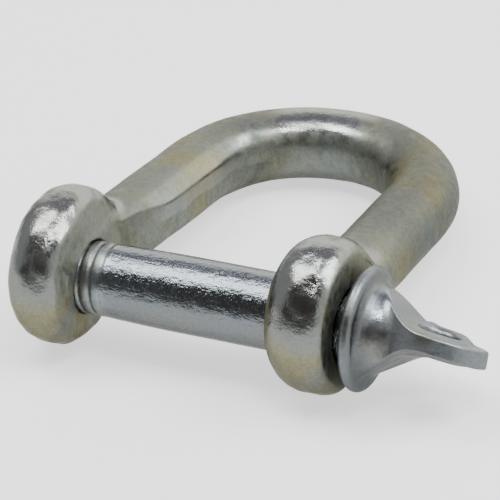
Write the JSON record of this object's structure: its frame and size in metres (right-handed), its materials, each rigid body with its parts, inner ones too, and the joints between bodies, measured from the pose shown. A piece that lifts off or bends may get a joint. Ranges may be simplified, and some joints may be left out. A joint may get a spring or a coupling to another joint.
{
  "type": "bow shackle",
  "caption": "Bow shackle of zinc-plated steel: a bent bow with two eyes, closed by a screw pin with a collar and a pierced thumb eye.",
  "frame": {"origin": "on the pin's axis, midway between the two eyes", "axes": "+X along the pin, from its threaded end to its thumb eye; +Y from the pin toward the crown of the bow; +Z square to the plane of the bow"},
  "size_m": [0.0636, 0.0637, 0.0222],
  "materials": {
    "bow_zinc": "zinc plate with a clear passivation, satin, over a forged and slightly dented surface",
    "pin_zinc": "bright zinc plate with a bluish clear passivation, glossy on the shank"
  },
  "bodies": {
    "bow": {"bow": "bow_zinc"},
    "screw_pin_shank": {"pin_shank": "pin_zinc"},
    "screw_pin_head": {"pin_head": "pin_zinc"}
  },
  "joints": [
    {"name": "pin_travel", "type": "slide", "parent": "bow", "child": "screw_pin_shank", "axis": [1, 0, 0], "range_m": [-0.00112, 0.0375]},
    {"name": "pin_turn", "type": "hinge", "parent": "screw_pin_shank", "child": "screw_pin_head", "pos_m": [0, 0, 0], "axis": [1, 0, 0], "range_deg": [-270.2, 9000.5]}
  ],
  "couplings": [
    {"joint": "pin_turn", "follows": "pin_travel", "rad_per_m": 4188.8}
  ]
}
